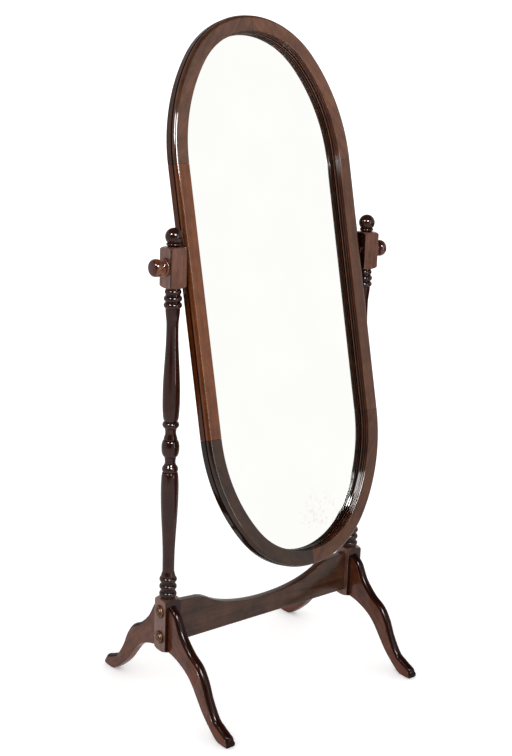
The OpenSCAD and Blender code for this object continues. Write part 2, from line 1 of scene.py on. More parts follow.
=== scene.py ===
# %% [markdown]
# # A tall oval mirror on a turned stand
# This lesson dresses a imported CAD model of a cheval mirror. The CAD gives every size and every joint.
# Blender adds what the eye looks for: turned beads with crisp steps, worn arrises, stained wood and aged silver.

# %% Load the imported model
import math

import bmesh
import bpy
from mathutils import Matrix, Vector


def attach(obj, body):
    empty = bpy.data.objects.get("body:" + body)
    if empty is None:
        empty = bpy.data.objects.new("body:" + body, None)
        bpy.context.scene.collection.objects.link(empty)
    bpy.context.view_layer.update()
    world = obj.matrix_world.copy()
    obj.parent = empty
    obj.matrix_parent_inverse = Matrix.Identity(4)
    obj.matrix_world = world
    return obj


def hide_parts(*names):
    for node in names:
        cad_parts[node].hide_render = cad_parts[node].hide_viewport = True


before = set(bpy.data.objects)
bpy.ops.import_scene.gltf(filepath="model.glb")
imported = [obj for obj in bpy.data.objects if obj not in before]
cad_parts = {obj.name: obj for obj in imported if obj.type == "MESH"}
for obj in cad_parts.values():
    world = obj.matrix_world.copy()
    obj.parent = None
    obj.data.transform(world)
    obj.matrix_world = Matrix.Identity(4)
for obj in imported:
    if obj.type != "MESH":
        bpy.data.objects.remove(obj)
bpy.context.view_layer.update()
scene = bpy.context.scene

# %% [markdown]
# ## Sizes
# Every piece below is drawn in millimetres from the same numbers as the CAD source, so that it lies on its solid.
# The scene itself is in metres, so each shape is scaled once, when its points are made.

# %% Sizes, in millimetres
MM = 0.001
POST_X, HALF_POST = 279.5, 21.5
PIVOT_Z = 1022
BLOCKS = ((136, 128), (976, 89))
FRAME_HALF, STILE_HALF, END_R = 253, 297.5, 216
SIDE_R = 5 * FRAME_HALF - 4 * END_R
BAND, FRAME_T, FACE = 36.5, 30, 14
GLASS_DEPTH, LIP, WALL = 21.5, 2.5, 32
PIVOT_UP = 82.5
TILT = math.radians(13.6)
LEG_REACH, LEG_TIP, LEG_HALF = 248, 250, 12
print("side arc radius:", SIDE_R, "mm")

# %% [markdown]
# ## Camera
# The photographer stood front left of the mirror and a little above its middle.
# Place, direction, roll and lens were fitted to the outlines of the object, so nothing here is guessed by eye.

# %% Camera
AZIMUTH, ELEVATION, ROLL = (math.radians(a) for a in (38.96, 14.23, 1.95))
CAMERA_AT = Vector((-1.8172, -2.1932, 1.4614))
FOCAL, LONG_SIDE = 1269.1, 756  # in pixels of the photograph
SENSOR = 36
forward = Vector(
    (math.sin(AZIMUTH) * math.cos(ELEVATION), math.cos(AZIMUTH) * math.cos(ELEVATION), -math.sin(ELEVATION))
)
level = Vector((math.cos(AZIMUTH), -math.sin(AZIMUTH), 0))
above = level.cross(forward)
right = level * math.cos(ROLL) + above * math.sin(ROLL)
up = above * math.cos(ROLL) - level * math.sin(ROLL)
camera = bpy.data.objects.new("camera", bpy.data.cameras.new("camera"))
camera.matrix_world = Matrix(
    (
        (right.x, up.x, -forward.x, CAMERA_AT.x),
        (right.y, up.y, -forward.y, CAMERA_AT.y),
        (right.z, up.z, -forward.z, CAMERA_AT.z),
        (0, 0, 0, 1),
    )
)
camera.data.sensor_width = SENSOR
camera.data.lens = FOCAL * SENSOR / LONG_SIDE
scene.collection.objects.link(camera)
scene.camera = camera
scene.view_settings.view_transform = "Standard"
print("lens, mm:", round(camera.data.lens, 1))

# %% [markdown]
# ## Light and floor
# A product studio is a pale box, so light comes from everywhere. Dark lacquer shows that box as a grey veil,
# and it goes black wherever the room is dark. So the world is white for soft light, and glossy surfaces see
# pale walls, a dim ceiling and two dark places: behind the camera, and low down on the right. The glass sees
# the same room without the dark places. Three lamps add the small highlights on each bead, and the floor
# is a sheet of white paper that is lit from below as well.


# %% Shader helpers
def node(tree, kind, place, inputs=None, stops=None, **settings):
    """Adds one shader node. inputs maps a socket to a value or to (node, output); stops fill a colour ramp."""
    n = tree.nodes.new(kind)
    n.location = place
    for key, value in settings.items():
        setattr(n, key, value)
    for key, value in (inputs or {}).items():
        if isinstance(value, tuple) and isinstance(value[0], bpy.types.Node):
            tree.links.new(value[0].outputs[value[1]], n.inputs[key])
        else:
            n.inputs[key].default_value = value
    for i, (position, color) in enumerate(stops or []):
        element = n.color_ramp.elements[i] if i < 2 else n.color_ramp.elements.new(position)
        element.position = position
        element.color = color
    return n


def linear(code):
    """An sRGB hex colour as linear RGBA."""
    parts = [int(code[i : i + 2], 16) / 255 for i in (1, 3, 5)]
    return [c / 12.92 if c <= 0.04045 else ((c + 0.055) / 1.055) ** 2.4 for c in parts] + [1.0]


def grey(value):
    return (value, value, value, 1)


def blank(name):
    """A fresh material, its node tree and its shader."""
    material = bpy.data.materials.new(name)
    material.use_nodes = True
    return material, material.node_tree, material.node_tree.nodes["Principled BSDF"]


# %% World
world = bpy.data.worlds.new("studio")
scene.world = world
world.use_nodes = True
tree = world.node_tree
tree.nodes.clear()
where = node(tree, "ShaderNodeTexCoord", (-1400, 0))
split = node(tree, "ShaderNodeSeparateXYZ", (-1200, 200), {"Vector": (where, "Generated")})
# soft light comes from white walls and a greyer ceiling
soft = node(
    tree,
    "ShaderNodeValToRGB",
    (-600, 400),
    {"Fac": (split, "Z")},
    [(0.5, grey(1.0)), (0.9, grey(0.45))],
)
# a reflection shows walls that come out just white at a strength of 1.4, and a nearly black ceiling
shiny = node(
    tree,
    "ShaderNodeValToRGB",
    (-600, 200),
    {"Fac": (split, "Z")},
    [(0.5, grey(0.714)), (0.72, grey(0.05))],
)
# the middles of the two dark places, as directions, and how far each is squashed
DARK_PLACES = (((-0.77, -0.62, 0.16), (1.2, 1.2, 2.3)), ((0.89, -0.34, -0.31), (1.15, 1.15, 3.5)))
room = (shiny, "Color")
for middle, squash in DARK_PLACES:
    off = node(
        tree, "ShaderNodeVectorMath", (-1200, -100), {0: (where, "Generated"), 1: middle}, operation="SUBTRACT"
    )
    flat = node(tree, "ShaderNodeVectorMath", (-1000, -100), {0: (off, "Vector"), 1: squash}, operation="MULTIPLY")
    reach = node(tree, "ShaderNodeVectorMath", (-800, -100), {0: (flat, "Vector")}, operation="LENGTH")
    patch = node(
        tree,
        "ShaderNodeValToRGB",
        (-600, -100),
        {"Fac": (reach, "Value")},
        [(0.65, grey(0.02)), (1.1, grey(1.0))],
    )
    darker = node(
        tree,
        "ShaderNodeMix",
        (-300, 100),
        {0: 1.0, 6: room, 7: (patch, "Color")},
        data_type="RGBA",
        blend_type="MULTIPLY",
    )
    room = (darker, 2)
ray = node(tree, "ShaderNodeLightPath", (-300, 600))
# the glass reflects sharply, and shows the plain room: only lacquer and metal see its dark places
mirrored = node(
    tree,
    "ShaderNodeMix",
    (-200, 400),
    {0: (ray, "Is Singular Ray"), 6: room, 7: (shiny, "Color")},
    data_type="RGBA",
)
seen = node(
    tree,
    "ShaderNodeMix",
    (-100, 200),
    {0: (ray, "Is Glossy Ray"), 6: (soft, "Color"), 7: (mirrored, 2)},
    data_type="RGBA",
)
lit = node(tree, "ShaderNodeBackground", (100, 100), {"Color": (seen, 2), "Strength": 1.4})
node(tree, "ShaderNodeOutputWorld", (300, 100), {"Surface": (lit, "Background")})
print("world nodes:", len(tree.nodes))


# %% Lamps
def lamp(name, bearing, out, height, wide, tall, power):
    """A lamp panel; bearing is degrees to the left of straight in front of the mirror."""
    data = bpy.data.lights.new(name, "AREA")
    data.shape = "RECTANGLE"
    data.size = wide
    data.size_y = tall
    data.energy = power
    # one bounce is enough for a highlight, and it keeps the mirror from throwing lamp light onto its own frame
    data.cycles.max_bounces = 1
    obj = bpy.data.objects.new(name, data)
    # the room gives the soft light, so the panels only show as highlights
    obj.visible_diffuse = False
    turn = math.radians(bearing)
    obj.location = (-out * math.sin(turn), -out * math.cos(turn), height)
    obj.rotation_euler = (Vector((0, 0, 0.9)) - obj.location).to_track_quat("-Z", "Y").to_euler()
    scene.collection.objects.link(obj)


# degrees, then metres out, up, wide and tall, then watts
lamp("lamp_left", 76, 2.1, 2.35, 0.6, 0.6, 80)
lamp("lamp_right", 19, 2.4, 2.45, 0.8, 0.8, 190)
lamp("strip", -15, 3.2, 1.3, 0.22, 2.4, 24)

# %% Floor
FLOOR_R = 2.2
bm = bmesh.new()
bmesh.ops.create_circle(bm, cap_ends=True, segments=96, radius=FLOOR_R)
mesh = bpy.data.meshes.new("floor")
bm.to_mesh(mesh)
bm.free()
floor = bpy.data.objects.new("floor", mesh)
scene.collection.objects.link(floor)
paper, _, shader = blank("white_paper")
shader.inputs["Base Color"].default_value = linear("#fdfdfd")
shader.inputs["Roughness"].default_value = 1.0
shader.inputs["Specular IOR Level"].default_value = 0.0
# the sheet is lit from below as well, so that it burns out to white round the feet
shader.inputs["Emission Color"].default_value = grey(1.0)
shader.inputs["Emission Strength"].default_value = 0.22
mesh.materials.append(paper)
print("floor: a white disc", 2 * FLOOR_R, "m wide")

# %% [markdown]
# ## Stained wood
# The real wood is a red-brown hardwood, stained dark and sprayed with lacquer. Long pores run with the grain,
# the stain lies unevenly, and the lacquer gives a sharp highlight on every bead.
# Each piece needs its own grain direction, so one function makes a material for a given direction.


# %% Wood material
def stained_wood(name, light, dark, turn, lacquer, gloss=0.06):
    """Dark stained hardwood under lacquer; turn lays the grain along the local Z axis.

    lacquer is the weight of the film on flat wood and on turned or routed wood.
    """
    material, tree, shader = blank(name)
    where = node(tree, "ShaderNodeTexCoord", (-1500, 0))
    laid = node(tree, "ShaderNodeMapping", (-1300, 0), {"Vector": (where, "Object"), "Rotation": turn})
    drawn_out = node(tree, "ShaderNodeMapping", (-1100, 0), {"Vector": (laid, "Vector"), "Scale": (1, 1, 0.06)})
    # real pores are 0.2 mm wide; drawn coarser, 1.4 mm wide and 24 mm long, to show from three metres
    pores = node(
        tree,
        "ShaderNodeTexNoise",
        (-900, 200),
        {"Vector": (drawn_out, "Vector"), "Scale": 700.0, "Detail": 3.0, "Roughness": 0.6},
    )
    # growth bands 8 to 20 mm wide
    bands = node(
        tree,
        "ShaderNodeTexNoise",
        (-900, -100),
        {"Vector": (drawn_out, "Vector"), "Scale": 90.0, "Detail": 4.0, "Roughness": 0.55, "Distortion": 0.4},
    )
    # patches of stain 30 to 60 mm wide
    patches = node(
        tree,
        "ShaderNodeTexNoise",
        (-900, -400),
        {"Vector": (laid, "Vector"), "Scale": 30.0, "Detail": 4.0, "Roughness": 0.6},
    )
    tone = node(tree, "ShaderNodeMath", (-700, -200), {0: (bands, "Fac"), 1: (patches, "Fac")}, operation="ADD")
    # the sum of two noises lies round 1, so it is halved for the ramp
    halved = node(tree, "ShaderNodeMath", (-600, -200), {0: (tone, "Value"), 1: 0.5}, operation="MULTIPLY")
    color = node(
        tree,
        "ShaderNodeValToRGB",
        (-500, -100),
        {"Fac": (halved, "Value")},
        [(0.36, linear(dark)), (0.62, linear(light))],
    )
    pore_mask = node(
        tree,
        "ShaderNodeValToRGB",
        (-500, 200),
        {"Fac": (pores, "Fac")},
        [(0.36, (0.5, 0.42, 0.38, 1)), (0.52, (1, 1, 1, 1))],
    )
    grained = node(
        tree,
        "ShaderNodeMix",
        (-250, 100),
        {0: 0.6, 6: (color, "Color"), 7: (pore_mask, "Color")},
        data_type="RGBA",
        blend_type="MULTIPLY",
    )
    # turned and routed wood drinks more stain than planed faces; the same attribute also carries painted shade in
    # grooves and inward corners, and on faces that the light misses, and darkens the colour there
    depth = node(tree, "ShaderNodeAttribute", (-700, 500), attribute_name="stain")
    stain_and_shade_ramp = node(
        tree,
        "ShaderNodeValToRGB",
        (-500, 500),
        {"Fac": (depth, "Fac")},
        [(0.0, grey(1.0)), (0.6, (0.22, 0.13, 0.12, 1)), (1.0, grey(0.02))],
    )
    wood = node(
        tree,
        "ShaderNodeMix",
        (-100, 200),
        {0: 1.0, 6: (grained, 2), 7: (stain_and_shade_ramp, "Color")},
        data_type="RGBA",
        blend_type="MULTIPLY",
    )
    tree.links.new(wood.outputs[2], shader.inputs["Base Color"])
    shader.inputs["Roughness"].default_value = 0.5
    shader.inputs["Specular IOR Level"].default_value = 0.0
    # soaked wood holds a thinner film of lacquer, and so do the places painted as shade
    film = node(
        tree,
        "ShaderNodeMapRange",
        (-250, 500),
        {"Value": (depth, "Fac"), "From Max": 0.65, "To Min": lacquer[0], "To Max": lacquer[1]},
    )
    tree.links.new(film.outputs[0], shader.inputs["Coat Weight"])
    shader.inputs["Coat Roughness"].default_value = gloss
    return material


UPRIGHT = (0, 0, 0)
ACROSS = (0, math.radians(90), 0)
LEANING = (TILT, 0, 0)
LEG_SLOPE = math.radians(50)
CHORD = 38  # degrees that the chord of an arc leans from upright
post_wood = stained_wood("stained_mahogany_post", "#6e4a3c", "#4c3228", UPRIGHT, (0.8, 0.5))
leg_wood = {}
for end, slope in (("front", LEG_SLOPE), ("rear", -LEG_SLOPE)):
    name = "stained_mahogany_leg_" + end
    leg_wood[end] = stained_wood(name, "#5c2f1a", "#3a1c10", (slope, 0, 0), (0.5, 0.2), 0.18)
rail_wood = stained_wood("stained_mahogany_rail", "#4a2f20", "#2a1810", ACROSS, (0.55, 0.3), 0.2)
FRAME_FILM, FRAME_GLOSS = (0.8, 0.2), 0.07
# the right stile is darker and duller than the left one
stile_wood = {}
for side, light, dark in (("left", "#74401c", "#542a10"), ("right", "#5a3620", "#422414")):
    name = "stained_mahogany_stile_" + side
    stile_wood[side] = stained_wood(name, light, dark, LEANING, FRAME_FILM, FRAME_GLOSS)
# each arc is sawn from its own board with the grain along its chord, and takes the stain a little differently
arc_wood = {}
for place, number, light, dark, lean in (
    ("top_left", 1, "#64402e", "#422a1c", -CHORD),
    ("top_right", 2, "#6c442e", "#4c2c1c", CHORD),
    ("bottom_left", 3, "#3c2310", "#20100a", CHORD),
    ("bottom_right", 4, "#553018", "#341c10", -CHORD),
):
    name = f"stained_mahogany_arc_{number}"
    arc_wood[place] = stained_wood(name, light, dark, (TILT, math.radians(lean), 0), FRAME_FILM, FRAME_GLOSS)
knob_wood = {
    "left": stained_wood("stained_mahogany_knob_left", "#8c5030", "#62341e", ACROSS, (1.0, 0.65)),
    "right": stained_wood("stained_mahogany_knob_right", "#6a3a34", "#4a2422", ACROSS, (0.9, 0.6)),
}
print("wood materials:", len([m for m in bpy.data.materials if m.name.startswith("stained")]))

# %% [markdown]
# ## Turning a post
# A post is turned on a lathe from 43 mm square stock. Two blocks stay square, and the lathe only rounds
# their shoulders. The outline is one line of radius against height, spun round the axis.


# %% Outline helpers, all in millimetres
def ease(za, zb, a, b, n):
    """A soft change between two extreme radii."""
    return [(a + (b - a) * (1 - math.cos(math.pi * i / n)) / 2, za + (zb - za) * i / n) for i in range(n + 1)]


def swell_in(za, zb, a, b, n):
    """A quarter ellipse that starts along the axis and ends square to it."""
    q = math.pi / 2 / n
    return [(a + (b - a) * (1 - math.cos(q * i)), za + (zb - za) * math.sin(q * i)) for i in range(n + 1)]


def swell_out(za, zb, a, b, n):
    """A quarter ellipse that starts square to the axis and ends along it."""
    q = math.pi / 2 / n
    return [(a + (b - a) * math.sin(q * i), za + (zb - za) * (1 - math.cos(q * i))) for i in range(n + 1)]


def bead(z, radius, half, below, above, n=14):
    """A round bead from the radius of the wood below it to the radius above it."""
    middle = radius - half
    low = -math.acos(min(1, (below - middle) / half))
    high = math.acos(min(1, (above - middle) / half))
    turns = [low + (high - low) * i / n for i in range(n + 1)]
    return [(middle + half * math.cos(t), z + half * math.sin(t)) for t in turns]


def follow(*parts):
    """Joins runs of points and drops what would step back down."""
    line = []
    for part in parts:
        line += [p for p in part if not line or p[1] > line[-1][1] - 1e-6]
    return line


TURNED = 0.6  # how much more stain turned and routed wood holds than a planed face, which has 0


def lathe(outline, steps=72):
    """Spins an outline of (radius, height) round the z axis into a closed shell."""
    bm = bmesh.new()
    points = [bm.verts.new((r * MM, 0, z * MM)) for r, z in outline]
    edges = [bm.edges.new(pair) for pair in zip(points, points[1:])]
    bmesh.ops.spin(
        bm, geom=points + edges, cent=(0, 0, 0), axis=(0, 0, 1), angle=math.tau, steps=steps, use_merge=True
    )
    bmesh.ops.remove_doubles(bm, verts=bm.verts, dist=1e-6)
    stain = bm.verts.layers.float.new("stain")
    for vert in bm.verts:
        vert[stain] = TURNED
    return bm


# %% Helpers that join and finish pieces
def add(bm, other, matrix=None):
    """Puts a copy of another bmesh into bm and frees it."""
    if matrix is not None:
        other.transform(matrix)
    mesh = bpy.data.meshes.new("part")
    other.to_mesh(mesh)
    other.free()
    bm.from_mesh(mesh)
    bpy.data.meshes.remove(mesh)


def shade(bm, limit=30):
    """Smooth faces, with a crease wherever two faces meet at more than the limit, and painted shade in inward
    creases.
    """
    bmesh.ops.recalc_face_normals(bm, faces=bm.faces)
    if bm.calc_volume(signed=True) < 0:
        bmesh.ops.reverse_faces(bm, faces=bm.faces)
    bm.normal_update()
    for face in bm.faces:
        face.smooth = True
    for edge in bm.edges:
        edge.smooth = len(edge.link_faces) == 2 and edge.calc_face_angle(0) < math.radians(limit)
    # painted shade: where faces meet inwards, the colour is darkened as if shade lay in the crease
    stain = bm.verts.layers.float.get("stain") or bm.verts.layers.float.new("stain")
    for vert in bm.verts:
        vert[stain] = min(1, max([vert[stain]] + [-e.calc_face_angle_signed(0) for e in vert.link_edges]))


def piece(name, bm, body, slot, material, *stands_for):
    """Makes the finished object, lets it ride on its body and hides the CAD nodes it stands for."""
    shade(bm)
    mesh = bpy.data.meshes.new(name)
    bm.to_mesh(mesh)
    bm.free()
    mesh.materials.append(material)
    obj = bpy.data.objects.new(name, mesh)
    scene.collection.objects.link(obj)
    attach(obj, body)
    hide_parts(*stands_for)
    print(name, "faces:", len(mesh.polygons))


def boolean(bm, tool, operation):
    """Runs an exact boolean between two bmeshes and gives the result as a new bmesh."""
    pair = []
    for source in (bm, tool):
        bmesh.ops.recalc_face_normals(source, faces=source.faces)
        mesh = bpy.data.meshes.new("part")
        source.to_mesh(mesh)
        source.free()
        obj = bpy.data.objects.new("part", mesh)
        scene.collection.objects.link(obj)
        pair.append(obj)
    cut = pair[0].modifiers.new("cut", "BOOLEAN")
    cut.operation = operation
    cut.solver = "EXACT"
    cut.object = pair[1]
    done = pair[0].evaluated_get(bpy.context.evaluated_depsgraph_get()).to_mesh()
    result = bmesh.new()
    result.from_mesh(done)
    for obj in pair:
        mesh = obj.data
        bpy.data.objects.remove(obj)
        bpy.data.meshes.remove(mesh)
    return result


def moved_verts(geom):
    return [g for g in geom if isinstance(g, bmesh.types.BMVert)]


# %% The outline of the turned parts
low_rings = [(16.2, 262)]
for z in (273.5, 291, 308.5):
    low_rings += bead(z, 20, 7, 16.2, 16.2)
top_rings = []
for z, radius in ((938.5, 20), (953, 20), (967.5, 18.2)):
    top_rings += bead(z, radius, 7, 16.2, 16.2)
turning = follow(
    [(0, 262)],
    low_rings,
    ease(316.5, 329.5, 16.2, 13.5, 8),
    ease(347.5, 522, 13.5, 20, 30),
    swell_in(525, 562, 20, 16.6, 12),
    [(14, 562.1)],
    [(15.4, 562.2), (16, 563), (15.2, 563.8)],
    swell_out(563.9, 569.5, 15.6, 17.9, 8),
    ease(571, 584.5, 17.8, 12, 14),
    ease(587, 599, 12, 13, 6),
    swell_out(599.01, 618, 13.4, 20, 12),
    swell_in(619, 637, 20, 14.6, 12),
    [(14, 637.1), (14.8, 637.9)],
    ease(639, 652, 15.2, 12.2, 10),
    ease(656, 664, 12.2, 13.2, 4),
    bead(672, 18.6, 8.4, 13.4, 14),
    [(14, 681.9)],
    swell_out(682, 725, 15.3, 19.2, 14),
    ease(737, 887.5, 19.2, 13.3, 30),
    ease(893.5, 931.5, 13.3, 16.1, 12),
    top_rings,
    [(16.2, 978), (0, 978)],
)
finial = follow(
    [(0, 1063), (12, 1063)],
    bead(1070, 16.6, 2.4, 14.2, 14.2, 10),
    bead(1086, 19, 19, 13.6, 0.01, 30),
)
print("turning points:", len(turning), "finial points:", len(finial))


# %% A square block with turned shoulders
SHOULDER, NECK_R, CORNER_R = 9.5, 15, 31.4  # the barrel's wide part lies just outside the block's corners


def square_block(z, height):
    """A cube of post stock with softened arrises, cut by a turned barrel at both ends."""
    block = bmesh.new()
    bmesh.ops.create_cube(block, size=1)
    wide = 2 * HALF_POST * MM
    block.transform(
        Matrix.Translation((0, 0, (z + height / 2) * MM)) @ Matrix.Diagonal((wide, wide, height * MM, 1))
    )
    upright = [e for e in block.edges if abs(e.verts[0].co.z - e.verts[1].co.z) > 0.01]
    bmesh.ops.bevel(
        block, geom=upright, offset=1.3 * MM, affect="EDGES", segments=3, profile=0.5, material=-1
    )
    barrel = lathe(
        [(0, z - 0.01)]
        + swell_out(z, z + SHOULDER, NECK_R, CORNER_R, 16)
        + swell_in(z + height - SHOULDER, z + height, CORNER_R, NECK_R, 16)
        + [(0, z + height + 0.01)],
        steps=128,
    )
    block = boolean(block, barrel, "INTERSECT")
    stain = block.verts.layers.float.get("stain") or block.verts.layers.float.new("stain")
    for vert in block.verts:
        vert[stain] = 0
    return block


# %% Both posts
for side, sign in (("left", -1), ("right", 1)):
    bm = lathe(turning)
    add(bm, lathe(finial))
    for z, height in BLOCKS:
        block = square_block(z, height)
        stain = block.verts.layers.float["stain"]
        for vert in block.verts:
            x, y = vert.co.x, vert.co.y
            if (z, height) == BLOCKS[0]:
                # painted shade darkens the two faces that carry the legs, in the corners beside them, where stain
                # also gathers
                vert[stain] = 0.75 if abs(y) > (HALF_POST - 0.2) * MM else 0
            elif side == "left":
                # the arrises of this block are painted nearly black, as the dark reflection they show
                vert[stain] = 0.85 if abs(x * y) > ((HALF_POST - 0.9) * MM) ** 2 else 0
            else:
                # painted shade: the face that hides beside the frame is darkened as the frame's shadow and dark
                # reflection
                vert[stain] = 0.85 if x < (0.2 - HALF_POST) * MM else 0
        add(bm, block)
    bm.transform(Matrix.Translation((sign * POST_X * MM, 0, 0)))
    piece("turned_post_" + side, bm, "stand", "dark_wood", post_wood, "post_" + side)

# %% [markdown]
# ## Legs
# A leg is sawn to an S shape, and a router runs along its upper edge: it leaves a rounded crown with a small
# step on each side. One section is extruded from station to station along the curve.

# %% Leg curves, as shares of the reach beyond the post and of the tip height
LEG_TOP = [
    (0, 1), (0.097, 0.936), (0.203, 0.784), (0.344, 0.664), (0.485, 0.59), (0.588, 0.476),
    (0.671, 0.324), (0.772, 0.192), (0.847, 0.152), (0.922, 0.12), (0.978, 0.098), (1, 0.068),
]  # fmt: skip
LEG_LOW = [
    (0, 0.55), (0.105, 0.532), (0.21, 0.5), (0.316, 0.452), (0.408, 0.382), (0.496, 0.286),
    (0.596, 0.176), (0.719, 0.076), (0.807, 0.018), (0.868, 0), (0.93, 0), (0.995, 0.004),
]  # fmt: skip
CROWN, STEP, ARRIS = 6.5, 2.2, 3


def along_leg(keys, t):
    """A smooth curve through the keys, in millimetres out from the post and up from the floor."""
    last = len(keys) - 1
    i = max(0, min(int(t), last - 1))
    f = t - i
    p1, p2 = Vector(keys[i]), Vector(keys[i + 1])
    p0 = Vector(keys[i - 1]) if i > 0 else 2 * p1 - p2
    p3 = Vector(keys[i + 2]) if i < last - 1 else 2 * p2 - p1
    p = p1 + f * (
        (p2 - p0) / 2 + f * ((2 * p0 - 5 * p1 + 4 * p2 - p3) / 2 + f * (3 * p1 - p0 - 3 * p2 + p3) / 2)
    )
    return Vector((HALF_POST + p.x * (LEG_REACH - HALF_POST), max(0, p.y * LEG_TIP)))


def leg_section(t):
    """Points of one section, from one lower arris over the crown to the other."""
    low, top = along_leg(LEG_LOW, t), along_leg(LEG_TOP, t)
    run = along_leg(LEG_TOP, t + 0.05) - along_leg(LEG_TOP, t - 0.05)
    height = (top - low).length
    rise = (top - low) / height
    square = max(0.4, abs(run.x * rise.y - run.y * rise.x) / run.length)
    crown = min(CROWN / square, 0.45 * height)
    arris = min(ARRIS, height / 4)
    wide, inner, step = LEG_HALF, LEG_HALF - STEP, height - crown
    half = [
        (wide - arris * (1 - math.sin(q)), arris * (1 - math.cos(q))) for q in (0, 0.4, 0.8, 1.2, math.pi / 2)
    ]
    half += [(wide, step - 0.9), (wide - 0.3, step - 0.3), (wide - 0.9, step), (inner + 0.5, step)]
    half += [(inner, step - 0.5)]
    half += [(inner * math.cos(q), step + crown * math.sin(q)) for q in [math.pi / 2 * k / 9 for k in range(10)]]
    both = half + [(-x, y) for x, y in reversed(half[:-1])]
    return [Vector((x, -(low + rise * y).x, (low + rise * y).y)) * MM for x, y in both]


# %% Extrude the legs
def leg(stations=88):
    """Extrudes the first section again and again and moves each copy to its place on the curve."""
    bm = bmesh.new()
    stain = bm.verts.layers.float.new("stain")
    ring = [bm.verts.new(p) for p in leg_section(0)]
    bm.faces.new(ring)
    for vert in ring[8:-8]:
        vert[stain] = TURNED
    for k in range(1, stations + 1):
        edges = [bm.edges.get((a, b)) for a, b in zip(ring, ring[1:] + ring[:1])]
        fresh = moved_verts(bmesh.ops.extrude_edge_only(bm, edges=edges)["geom"])
        ring = [min(fresh, key=lambda v: (v.co - old.co).length_squared) for old in ring]
        for v, p in zip(ring, leg_section((len(LEG_TOP) - 1) * k / stations)):
            v.co = p
    for vert in ring:
        vert[stain] = 0.8
    toe = bm.faces.new(ring)
    bmesh.ops.bevel(
        bm, geom=list(toe.edges), offset=4 * MM, affect="EDGES", segments=5, profile=0.5, material=-1,
        clamp_overlap=True,
    )  # fmt: skip
    return bm


for side, sign in (("left", -1), ("right", 1)):
    for end, turn in (("front", 0), ("rear", math.pi)):
        bm = leg()
        bm.transform(Matrix.Translation((sign * POST_X * MM, 0, 0)) @ Matrix.Rotation(turn, 4, "Z"))
        piece(f"shaped_leg_{end}_{side}", bm, "stand", "dark_wood", leg_wood[end], f"leg_{end}_{side}")

# %% [markdown]
# ## Stretcher
# A plain board joins the posts. Its upper edge dips in one long scoop, and its arrises are just broken.


# %% Stretcher
RAIL_HALF, RAIL_BOTTOM, RAIL_T = 258, 153, 20


def rail_top(x):
    """Height of the board's upper edge, in millimetres."""
    if x <= 170:
        return 200 + 37.6 * (1 - math.sqrt(1 - (0.85 * x / 170) ** 2)) / (1 - math.sqrt(1 - 0.85**2))
    if x <= 202:
        return 237.6 + 9.4 * math.sin(math.pi / 2 * (x - 170) / 32)
    return 247 + 4 * (x - 202) / 56


stations = [170 * i / 28 for i in range(28)] + [170 + 32 * i / 8 for i in range(8)] + [202, 230, RAIL_HALF]
outline = [(-RAIL_HALF, RAIL_BOTTOM), (RAIL_HALF, RAIL_BOTTOM)]
outline += [(x, rail_top(x)) for x in reversed(stations[1:])]
outline += [(-x, rail_top(x)) for x in stations]
bm = bmesh.new()
corners = [bm.verts.new((x * MM, -RAIL_T / 2 * MM, z * MM)) for x, z in outline]
face = bm.faces.new(corners)
grown = bmesh.ops.extrude_face_region(bm, geom=[face])["geom"]
bmesh.ops.translate(bm, verts=moved_verts(grown), vec=(0, RAIL_T * MM, 0))
rims = [e for e in bm.edges if abs(e.verts[0].co.y - e.verts[1].co.y) < 1e-6]
bmesh.ops.bevel(bm, geom=rims, offset=1.4 * MM, affect="EDGES", segments=3, profile=0.5, material=-1)
piece("scooped_stretcher", bm, "stand", "rail_wood", rail_wood, "stretcher")

# %% [markdown]
# ## Mirror frame
# The frame is moulded: a flat face, a rounded outer edge behind a small step, and two fine beads
# on the way down to the glass. It is drawn flat and then leant back on its pivot.


# %% Frame section, x inwards from the outer edge and z back from the front face
def rounded(cx, cz, r, start, stop, n=10):
    turns = [math.radians(start + (stop - start) * i / n) for i in range(n + 1)]
    return [(cx + r * math.cos(a), cz + r * math.sin(a)) for a in turns]


SECTION = (
    [(-1, -FRAME_T), (0, 1 - FRAME_T), (0, -13), (-0.3, -12.5), (-1.5, -12.5), (-1.5, -8.5)]
    + rounded(-10, -8.5, 8.5, 6, 90, 14)
    + [(1.2 - BAND, 0), (0.6 - BAND, -0.15), (0.2 - BAND, -0.5), (-BAND, -1.2), (-BAND, -3)]
    + [(1 - BAND, -3.6), (1 - BAND, -3.9)]
    + rounded(1 - BAND, -6.2, 2.4, 96, 262)
    + [(1 - BAND, -9.2), (0.2 - BAND, -9.4)]
    + rounded(0.2 - BAND, -12.2, 2.4, 92, 268)
    + [(0.2 - BAND, -15), (-1 - BAND, -15.6), (-BAND - LIP + 0.3, 2.1 - GLASS_DEPTH)]
    + [(-BAND - LIP, 2.9 - GLASS_DEPTH), (-BAND - LIP, -GLASS_DEPTH), (-WALL, -GLASS_DEPTH), (-WALL, -FRAME_T)]
)
PLACE = (
    Matrix.Translation((0, 0, PIVOT_Z * MM))
    @ Matrix.Rotation(math.radians(90) - TILT, 4, "X")
    @ Matrix.Translation((0, -PIVOT_UP * MM, 0))
)
SIDE_AT, END_AT = (FRAME_HALF - SIDE_R, STILE_HALF), (0, STILE_HALF + 0.6 * (SIDE_R - END_R))
BLEND = math.acos(0.8)
GAP = 0.35  # half a joint line
print("section points:", len(SECTION), "end centre:", END_AT)


